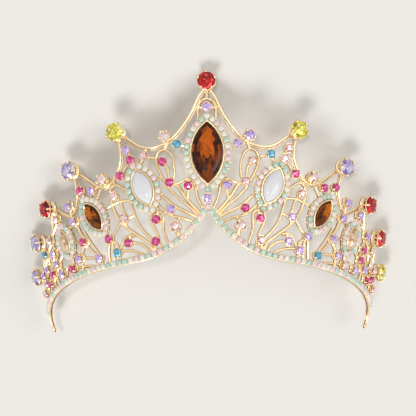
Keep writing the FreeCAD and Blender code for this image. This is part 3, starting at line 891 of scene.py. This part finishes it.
def build_openwork():
    """Round wires with a crest wire on top that takes the painted highlight; the outlines
    are a thick and a thin rail.
    """
    thin = both(WIRES) + WIRES_MID
    parts = []
    for name, paths, (radius, lift), sides in (
            ("plain_wires", thin, WIRE, 8), ("wire_crests", thin, WIRE_CREST, 6),
            ("ribs", both(RIBS), RIB, 8), ("rib_crests", both(RIBS), RIB_CREST, 6)):
        parts.append(wires(name, [on_face(p, lift) for p in paths], radius, sides))
    for name, (radius, offset, lift) in (("outline_rails", OUTER_RAIL),
                                         ("outline_inner_rails", INNER_RAIL)):
        # an outline's upper side lies on its left only where it runs towards +s
        lines = [beside(p, offset if p[-1][0] > p[0][0] else -offset, lift)
                 for p in both(OUTLINES)]
        parts.append(wires(name, lines, radius, 8))
    return gold_piece("openwork", parts)


def collet_shape(radius, foot, rim):
    """Small cup for a round stone, with four claws turned in over it."""
    wall = radius + 0.28
    profile = ((radius * 0.5, foot), (wall * 0.82, foot), (wall, rim - 0.5), (wall, rim),
               (radius - 0.02, rim), (radius * 0.8, foot + 0.7),
               (radius * 0.3, foot + 0.6))
    cup = solid("collet_cup", turned(profile, 14), GOLD)
    claws = [[spoke(45 + 90 * i, reach, z) for reach, z in
              ((wall - 0.05, rim - 0.7), (wall - 0.02, rim + 0.15),
               (radius * 0.82, rim + 0.75))] for i in range(4)]
    claw = wires("collet_claws", claws, 0.38, 6)
    return hidden(join("collet_tool", [cup, claw]))


def leaf_shape(radius):
    """Low scalloped rosette that fills the set field at the sides."""
    count = 24

    def scallop(reach, z):
        return [spoke(360 / count * i, reach * (0.9 + 0.1 * math.cos(math.tau * i / 4)), z)
                for i in range(count)]
    shape = stacked([scallop(radius * 0.8, -0.5), scallop(radius, -0.3),
                     scallop(radius, 0.25), scallop(radius * 0.84, 0.6)])
    return hidden(solid("leaf_tool", shape, GOLD))


def build_seats():
    shape = collet_shape(ACCENT_RADIUS + ACCENT_SPREAD, -0.7, 1.9)
    spots = [(local(side * s, h), 1.0) for s, h, tints in ACCENTS for name, side in SIDES]
    spots += [(local(s, h), 1.0) for s, h in ACCENTS_MID]
    collets = set_shapes("stone_collets", shape, spots, GOLD)
    leaf = leaf_shape(ACCENT_RADIUS + 1.0)
    spots = [(local(side * s, h, 25.0 * side), 1.0) for s, h, tints in ACCENTS
             if s > SET_FIELD_START for name, side in SIDES]
    return gold_piece("stone_collets", [collets, set_shapes("leaves", leaf, spots, GOLD)])


def navette_tones(stone, m, kind, seed):
    """Painted light of each facet: a painted bright streak up the middle, painted shade on
    the shoulders and the foot.
    """
    back = m.inverted()
    tones = []
    for polygon, chance in zip(stone.data.polygons, chances(stone, seed)):
        centre = back @ polygon.center / MM
        across = abs(centre.x) / (NAVETTES[kind][4] / 2.0)
        up = centre.y / (NAVETTES[kind][3] / 2.0)
        if kind == "white":
            tones.append(0.4)
        # painted sparkle at random, facet by facet
        elif kind == "champagne":
            tones.append(0.25 + 0.75 * chance)
        # painted bright streak up the middle
        elif across < 0.42 and -0.15 < up < 0.72:
            tones.append(0.36 + 0.48 * chance)
        # painted shade at the foot
        elif across < 0.22 and up < 0.0:
            tones.append(0.04 + 0.3 * chance)
        # painted shade on the shoulders and at the tips
        else:
            tones.append(0.02 + (0.5 if abs(up) < 0.32 else 0.16) * chance ** 2)
    return tones


def fan_table(vertices, faces, count):
    """Replaces the flat top face with facets that meet a little under its middle."""
    top = faces.pop()
    middle = sum((Vector(vertices[i]) for i in top), Vector()) / len(top)
    middle.z -= 0.12 * MM
    vertices = list(vertices)
    inner = []
    for i in top:
        corner = Vector(vertices[i])
        inner.append(len(vertices))
        vertices.append(corner.lerp(middle, 0.5))
    last = len(vertices)
    vertices.append(middle)
    for a in range(count):
        b = (a + 1) % count
        if a % 2:
            faces += [(top[a], top[b], inner[a]), (top[b], inner[b], inner[a])]
        else:
            faces += [(top[a], top[b], inner[b]), (top[a], inner[b], inner[a])]
        faces.append((inner[a], inner[b], last))
    return vertices, faces


def halo_spots(length, width, count):
    line = navette_line(length, width, HALO_OFFSET, 240)
    line.append(line[0])
    gone = [0.0]
    for a, b in zip(line, line[1:]):
        gone.append(gone[-1] + (b - a).length)
    step = gone[-1] / count

    def place_along(want):
        j = 0
        while j < len(gone) - 2 and gone[j + 1] < want:
            j += 1
        f = (want - gone[j]) / (gone[j + 1] - gone[j])
        a, b = line[j], line[j + 1]
        run = (b - a).normalized()
        return a.lerp(b, f), Vector((run.y, -run.x, 0))
    stones = [place_along(i * step)[0] for i in range(count)]
    gaps = [place_along((i + 0.5) * step) for i in range(count)]
    return stones, gaps


# Each navette's rings from the bezel up: share of its outline, lift.
NAVETTE_LEVELS = {
    "centre": ((0.66, 1.2), (0.97, 2.2), (0.99, 2.6), (0.86, 3.3), (0.7, 3.85),
               (0.46, 4.2)),
    "white": ((0.8, 1.2), (0.98, 1.8), (0.97, 2.3), (0.88, 3.0), (0.7, 3.6),
              (0.45, 3.95)),
    "amber": ((0.66, 1.2), (0.98, 2.0), (0.99, 2.4), (0.82, 3.2), (0.55, 3.9)),
    "champagne": ((0.66, 1.2), (0.98, 2.0), (0.99, 2.3), (0.8, 3.1), (0.55, 3.7)),
}
NAVETTE_SLOTS = {"centre": "amber_glass", "amber": "amber_glass", "white": "white_glass",
                 "champagne": "champagne_glass"}
PLATE_GROW = HALO_OFFSET + 0.95
PLATE_LOW, PLATE_HIGH = -0.6, 0.7
PLATE_HOLE = 0.72
# prong beads between two halo opals: distance outwards from the halo, lift, size
HALO_PRONGS = ((1.0, 1.5, 0.44), (1.5, 0.8, 0.56), (-0.95, 1.5, 0.36))


def setting_plate(tag, ring_at):
    """Flat ring under a halo, open behind the stone."""
    loops = [ring_at(PLATE_GROW, PLATE_LOW), ring_at(PLATE_GROW, PLATE_HIGH),
             ring_at(0.0, PLATE_HIGH, PLATE_HOLE), ring_at(0.0, PLATE_LOW, PLATE_HOLE)]
    return solid("plate_" + tag, stacked(loops + [loops[0]], False, False), GOLD)


def build_setting(tag, m, length, width, gaps):
    """Plate, bezel and prong beads of one navette."""
    def ring_at(grow, lift, share=1.0):
        line = navette_line(length * share, width * share, grow, 64, lift)
        return [m @ (p * MM) for p in line]

    def closed(grow, lift):
        line = ring_at(grow, lift)
        return line + [line[0]]
    prongs = [bead_spot(m @ ((p + out * reach + Vector((0, 0, lift))) * MM), size)
              for p, out in gaps for reach, lift, size in HALO_PRONGS]
    return gold_piece("setting_" + tag, [
        setting_plate(tag, ring_at),
        wires("bezel_" + tag, [closed(0.5, 1.0), closed(0.42, 1.75)], 0.46, 8),
        set_shapes("prongs_" + tag, BEAD, prongs, GOLD)])


def build_navette(kind, side_name, side):
    """One navette: its setting, its stone and its halo of opals."""
    s, h, tilt, length, width = NAVETTES[kind]
    tag = kind + ("_" + side_name if side_name else "")
    m = local(side * s, h, side * tilt)
    colours = HALOS[tag]
    stones, gaps = halo_spots(length, width, len(colours))
    setting = build_setting(tag, m, length, width, gaps)

    domed = kind == "white"
    count = 48 if domed else 16
    vertices, faces = stacked([[p * MM for p in
                                navette_line(length * k, width * k, 0.0, count, z)]
                               for k, z in NAVETTE_LEVELS[kind]])
    if not domed:
        vertices, faces = fan_table(vertices, faces, count)
    stone = solid("navette_stone_" + tag, ([m @ v for v in vertices], faces),
                  NAVETTE_GLASS[kind], domed)
    store(stone, "facet", "FLOAT", navette_tones(stone, m, kind, 11 + len(tag)), "FACE")
    foot = Vector((0, 0, HALO_OPAL_FOOT))
    spots = [(m @ Matrix.Translation((p + foot) * MM), 1.0) for p in stones]
    opals = set_shapes("halo_" + tag, DOME, spots, OPAL,
                       [OPAL_TINTS[c] for c in colours])
    piece_of(setting, "gold")
    piece_of(stone, NAVETTE_SLOTS[kind], "navette_" + tag)
    piece_of(opals, "opal", "halo_opals_" + tag)


def build_band_opals():
    for (side_name, side), colours in zip(SIDES, (BAND_LEFT, BAND_RIGHT)):
        # the middle opal belongs to the left row
        first = 0 if side < 0 else 1
        spots = [(local(side * s, h, lift=BAND_OPAL_FOOT), 1.0)
                 for s, h in rim_places[first:]]
        tints = [OPAL_TINTS[colours[i % len(colours)]]
                 for i in range(first, len(rim_places))]
        opals = set_shapes("band_opals_" + side_name, DOME, spots, OPAL, tints)
        piece_of(opals, "opal", "rim_opals_" + side_name)


def build_accents():
    for letter in "afrv":
        name, material = GEMS[letter]
        shape = brilliant_shape("cut_tool_" + name, ACCENT_RADIUS + ACCENT_SPREAD, 2.1,
                                material, ord(letter))
        spots = [(side * s, h) for s, h, tints in ACCENTS
                 for (side_name, side), tint in zip(SIDES, tints) if tint == letter]
        if letter == "v":
            spots += ACCENTS_MID
        placed = [(local(s, h, ACCENT_TURN * i, STONE_FOOT), 1.0)
                  for i, (s, h) in enumerate(spots)]
        stones = set_shapes("accent_" + name, shape, placed, material)
        piece_of(stones, name + "_glass", "accent_stones_" + name)


def claw_cup_shape(name, radius, height, first):
    """Open claw cup: solid foot, two rings on stays, claws bent over the stone."""
    wall = radius + 0.25
    profile = ((radius * 0.3, 0.0), (wall * 0.78, 0.0), (wall * 0.82, 0.5),
               (wall * 0.66, 0.95), (radius * 0.3, 0.95))
    parts = [solid(name + "_foot", turned(profile, 20), GOLD)]
    for label, reach, z, thick in (("gallery", wall, height - 0.35, 0.3),
                                   ("low", wall * 0.82, 0.6, 0.34)):
        loop = ring(reach, 32, z)
        parts.append(wires(name + "_" + label, [loop + [loop[0]]], thick, 8))
    bend = ((wall * 0.72, 0.3), (wall * 0.92, height * 0.5), (wall + 0.3, height - 0.2),
            (wall + 0.42, height + 0.5), (radius + 0.1, height + 1.25))
    rise = ((wall * 0.76, 0.4), (wall * 0.98, height - 0.35))
    between = 360 / CLAWS
    claws = [[spoke(first + between * i, *p) for p in bend] for i in range(CLAWS)]
    stays = [[spoke(first + between * (i + 0.5), *p) for p in rise] for i in range(CLAWS)]
    parts.append(wires(name + "_claws", claws, 0.48, 8))
    parts.append(wires(name + "_stays", stays, 0.3, 6))
    tips = [bead_spot(claw[-1], 0.66) for claw in claws]
    parts.append(set_shapes(name + "_tips", BEAD, tips, GOLD))
    return hidden(join(name, parts))


# group: places, colours, radius, height of the cup, height and extra radius of the stone
CUP_GROUPS = {
    "peak": (PEAKS, PEAK_COLOURS, PEAK_RADIUS, 3.0, 3.5, 0.35),
    "raised": (RAISED, RAISED_COLOURS, RAISED_RADIUS - 0.2, 2.1, 2.5, 0.1),
}


def build_cup(group, tag, shape, s, h, letter, seed):
    """One claw cup on its pad and the cut stone in it."""
    radius, tall, spread = (CUP_GROUPS[group][i] for i in (2, 4, 5))
    foot = local(s, h, lift=CUP_FOOT)
    cup = set_shapes("%s_claw_cup_%s" % (group, tag), shape, [(foot, 1.0)], GOLD)
    cup = gold_piece(cup.name, [cup])
    piece_of(cup, "gold", "%s_cup_%s" % (group, tag))
    colour, material = GEMS[letter]
    cut = brilliant_shape("cut_tool_%s_%s" % (group, tag), radius + spread, tall,
                          material, seed)
    seat = local(s, h, 22.5, CUP_FOOT + STONE_FOOT)
    stone = set_shapes("%s_cut_stone_%s" % (group, tag), cut, [(seat, 1.0)], material)
    slot_name = {"raised_violet": "violet"}.get(colour, colour) + "_glass"
    piece_of(stone, slot_name, "%s_stone_%s" % (group, tag))


def build_cups():
    """Every cup; the middle peak has only one, with a claw at its top."""
    for group, (places, colours, radius, rim, _, _) in CUP_GROUPS.items():
        low_claw = claw_cup_shape(group + "_cup_tool", radius, rim, 270)
        top_claw = claw_cup_shape(group + "_top_cup_tool", radius, rim, 90)
        for i, (s, h) in enumerate(places):
            for (side_name, side), letter in zip(SIDES, colours[i]):
                if s:
                    tag = "%d_%s" % (i + 1, side_name)
                    build_cup(group, tag, low_claw, side * s, h, letter, 100 + i)
                elif side < 0:
                    build_cup(group, "top", top_claw, side * s, h, letter, 100 + i)


def build_pads():
    """Seats under the claw cups."""
    parts = []
    for places, radius in ((PEAKS, PEAK_RADIUS), (RAISED, RAISED_RADIUS)):
        profile = ((radius * 0.5, -0.7), (radius * 0.95, -0.7), (radius * 1.05, 0.2),
                   (radius * 0.9, 1.0), (radius * 0.4, 1.0))
        pad = hidden(solid("pad_tool", turned(profile, 20), GOLD))
        spots = []
        for s, h in places:
            spots += [(local(side * s, h), 1.0) for name, side in SIDES if s or side > 0]
        parts.append(set_shapes("pads", pad, spots, GOLD))
    return gold_piece("cup_pads", parts)


def build_eyes():
    """A round-edged eye at each band end."""
    middle = (EYE_RADIUS + EYE_HOLE) / 2.0
    reach = (EYE_RADIUS - EYE_HOLE) / 2.0
    parts = []
    for side_name, side in SIDES:
        m = local(side * EYE[0], EYE[1])
        rings = []
        for degrees in range(0, 360, 30):
            t = math.radians(degrees)
            loop = ring(middle + reach * math.cos(t), 40, reach * math.sin(t))
            rings.append([m @ v for v in loop])
        shape = stacked(rings + [rings[0]], False, False)
        parts.append(solid("eye_" + side_name, shape, GOLD, True))
    return gold_piece("band_eyes", parts)


band = build_band()
openwork = build_openwork()
collets = build_seats()
pads = build_pads()
eyes = build_eyes()
for gold_part in (openwork, collets, pads, eyes):
    piece_of(gold_part, "gold")
piece_of(band, "gold", "tiara_frame")
build_navette("centre", "", 1)
for side_label, side_sign in SIDES:
    for navette_kind in ("white", "amber", "champagne"):
        build_navette(navette_kind, side_label, side_sign)
build_band_opals()
build_accents()
build_cups()
for tool in TOOLS:
    bpy.data.objects.remove(tool)

# ---- Floor, light and camera ----


# where the lamps aim
SUBJECT = Vector((0, -0.02, 0.03))
# strength of the sky as a lamp, and what a ray that sees it adds
SKY_LIGHT = 0.38
SKY_SEEN_MORE = 0.5


def build_floor():
    size = 6.0
    floor = mesh_object("floor", [(-size, -size, 0), (size, -size, 0), (size, size, 0),
                                  (-size, size, 0)], [(0, 1, 2, 3)])
    material, graph, shader = new_material("pale_floor")
    feed(graph, shader, Base_Color=(0.82, 0.81, 0.79, 1.0), Roughness=0.9,
         Specular_IOR_Level=0.1)
    floor.data.materials.append(material)


def build_world():
    world = bpy.data.worlds.new("studio")
    bpy.context.scene.world = world
    world.use_nodes = True
    graph = Graph(world.node_tree)
    world.node_tree.nodes.clear()
    path = graph.raw("ShaderNodeLightPath")
    seen, glossy, through = (Value(graph, path.outputs["Is %s Ray" % kind])
                             for kind in ("Camera", "Glossy", "Transmission"))
    strength = SKY_LIGHT + (seen + glossy + through).clamp() * SKY_SEEN_MORE
    back = graph.node("ShaderNodeBackground", {}, {"Color": (1.0, 0.985, 0.96, 1.0),
                                                   "Strength": strength})
    graph.raw("ShaderNodeOutputWorld", {}, {"Surface": back})


def lamp(name, place, size, power, colour=(1, 1, 1)):
    light = bpy.data.lights.new(name, "AREA")
    light.shape = "DISK"
    light.size = size
    light.energy = power
    light.color = colour
    obj = bpy.data.objects.new(name, light)
    obj.location = place
    obj.rotation_euler = (SUBJECT - Vector(place)).to_track_quat("-Z", "Y").to_euler()
    bpy.context.scene.collection.objects.link(obj)


# The camera of the picture, in the worn tiara's frame: below the band and in front.
CAMERA_DROP = math.radians(27.4)
CAMERA_REACH = 594.0
CAMERA_AIM = Vector((0, 0, 65.8))
CAMERA_ROLL = math.radians(-0.74)
LENS_PIXELS = 1061.0
PICTURE_PIXELS = 416.0


def build_camera():
    back = Vector((0, -math.cos(CAMERA_DROP), -math.sin(CAMERA_DROP)))
    right = Vector((1, 0, 0))
    up = back.cross(right)
    turned_right = right * math.cos(CAMERA_ROLL) + up * math.sin(CAMERA_ROLL)
    turned_up = up * math.cos(CAMERA_ROLL) - right * math.sin(CAMERA_ROLL)
    spot = CAMERA_AIM + back * CAMERA_REACH
    turn = Matrix((TURN @ turned_right, TURN @ turned_up, TURN @ back)).transposed()
    matrix = turn.to_4x4()
    matrix.translation = (TURN @ spot + SHIFT) * MM
    camera = bpy.data.cameras.new("camera")
    camera.sensor_width = 36.0
    camera.lens = camera.sensor_width * LENS_PIXELS / PICTURE_PIXELS
    camera.clip_start = 0.01
    obj = bpy.data.objects.new("camera", camera)
    obj.matrix_world = matrix
    bpy.context.scene.collection.objects.link(obj)
    bpy.context.scene.camera = obj


build_floor()
build_world()
lamp("main_lamp", (2.0, 4.4, 6.0), 3.2, 280.0, (1.0, 0.98, 0.95))
lamp("fill_lamp", (-4.8, -2.4, 4.8), 4.0, 128.0, (1.0, 0.97, 0.93))
lamp("spark_lamp", (0.8, -3.6, 5.6), 0.48, 76.0)
build_camera()
bpy.context.scene.view_settings.view_transform = "Standard"
